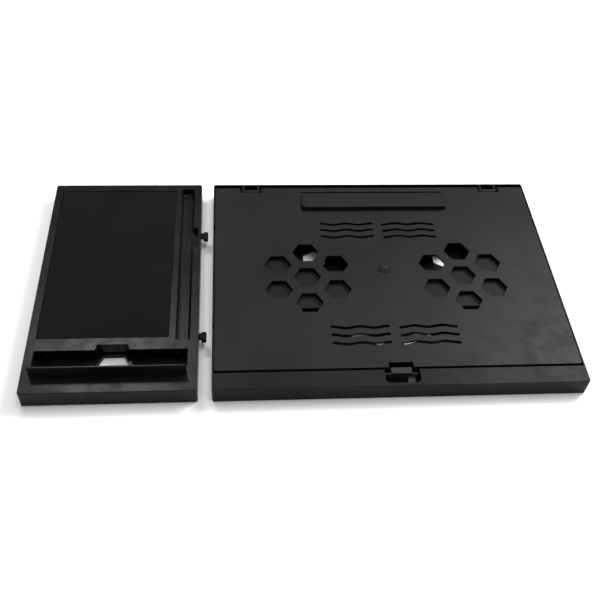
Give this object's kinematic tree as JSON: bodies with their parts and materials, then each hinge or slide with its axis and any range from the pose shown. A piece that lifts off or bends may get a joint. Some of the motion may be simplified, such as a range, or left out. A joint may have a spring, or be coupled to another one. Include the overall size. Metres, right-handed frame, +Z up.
{
  "type": "laptop cooling pad",
  "caption": "Flat laptop cooling table with a vented tilting lid on a fan base and a separate docking side tray with mouse mat, pen groove and folding device flap.",
  "frame": {"origin": "middle of the footprint of both units together, on the surface they stand on", "axes": "+X from the side tray to the main unit, +Y towards the lid's hinge, +Z up"},
  "size_m": [0.568, 0.3, 0.0352],
  "materials": {
    "black_abs": "fine moulded texture, satin",
    "deck_abs": "fine moulded texture, matt",
    "lid_abs": "smooth satin moulding",
    "tray_abs": "satin moulding",
    "hook_abs": "matt moulding",
    "flap_abs": "semi-gloss moulding",
    "latch_plastic": "satin, slightly lighter",
    "badge_plastic": "plain pressed disc",
    "fan_plastic": "glass-filled black",
    "black_rubber": "matt rubber",
    "mat_fabric": "fine woven cloth",
    "adhesive_film": "thin film",
    "bright_steel": "drawn wire and rod",
    "black_steel": "blackened screws and pins",
    "zinc_steel": "zinc plated",
    "plated_shell": "nickel plated",
    "bronze": "sintered bronze",
    "copper_winding": "enamelled copper wire",
    "circuit_board": "green solder mask",
    "lead_pvc": "soft insulation"
  },
  "bodies": {
    "base": {"base_housing": "black_abs", "deck_plate": "deck_abs", "deck_screws": "black_steel", "base_feet": "black_rubber", "hinge_pins": "black_steel", "fan_screws": "black_steel", "fan_leads": "lead_pvc", "socket_board": "circuit_board", "power_socket": "plated_shell", "fan_frame_left": "fan_plastic", "fan_frame_right": "fan_plastic", "fan_bearing_left": "bronze", "fan_bearing_right": "bronze", "fan_stator_left": "copper_winding", "fan_stator_right": "copper_winding", "latch_spring": "bright_steel"},
    "lid": {"top_plate": "lid_abs", "badge_disc": "badge_plastic", "stop_pins": "bright_steel", "prop_pin": "bright_steel"},
    "laptop_stop": {"laptop_stop": "lid_abs"},
    "prop": {"prop_stand": "black_abs", "prop_grip": "black_rubber"},
    "latch": {"latch_button": "latch_plastic"},
    "rotor_left": {"fan_rotor_left": "fan_plastic", "fan_shaft_left": "bright_steel"},
    "rotor_right": {"fan_rotor_right": "fan_plastic", "fan_shaft_right": "bright_steel"},
    "tray": {"tray_shell": "tray_abs", "tray_bottom": "tray_abs", "tray_screws": "zinc_steel", "tray_feet": "black_rubber", "mat_adhesive": "adhesive_film", "mouse_mat": "mat_fabric", "flap_pins": "bright_steel", "dock_hook_rear": "hook_abs", "dock_hook_front": "hook_abs"},
    "flap": {"device_flap": "flap_abs"}
  },
  "joints": [
    {"name": "lid_tilt", "type": "hinge", "parent": "base", "child": "lid", "pos_m": [0.093, 0.1402, 0.0176], "axis": [-1, 0, 0], "range_deg": [0, 30]},
    {"name": "prop_swing", "type": "hinge", "parent": "lid", "child": "prop", "pos_m": [0.093, 0.012, 0.015], "axis": [1, 0, 0], "range_deg": [0, 60]},
    {"name": "stop_flip", "type": "hinge", "parent": "lid", "child": "laptop_stop", "pos_m": [0.093, 0.1338, 0.0194], "axis": [-1, 0, 0], "range_deg": [0, 70]},
    {"name": "latch_pull", "type": "slide", "parent": "base", "child": "latch", "axis": [0, -1, 0], "range_m": [0, 0.003], "stiffness_N_per_m": 250, "springref_m": -0.002, "deforming": ["latch_spring"]},
    {"name": "fan_spin_left", "type": "hinge", "parent": "base", "child": "rotor_left", "pos_m": [0.057, 0.0645, 0.009], "axis": [0, 0, 1], "continuous": true},
    {"name": "fan_spin_right", "type": "hinge", "parent": "base", "child": "rotor_right", "pos_m": [0.129, 0.0645, 0.009], "axis": [0, 0, 1], "continuous": true},
    {"name": "tray_dock", "type": "slide", "parent": "base", "child": "tray", "axis": [1, 0, 0], "range_m": [0, 0.0138]},
    {"name": "flap_fold", "type": "hinge", "parent": "tray", "child": "flap", "pos_m": [-0.198, -0.1216, 0.0124], "axis": [-1, 0, 0], "range_deg": [0, 90]}
  ],
  "couplings": [
    {"joint": "prop_swing", "follows": "lid_tilt", "ratio": 2}
  ]
}
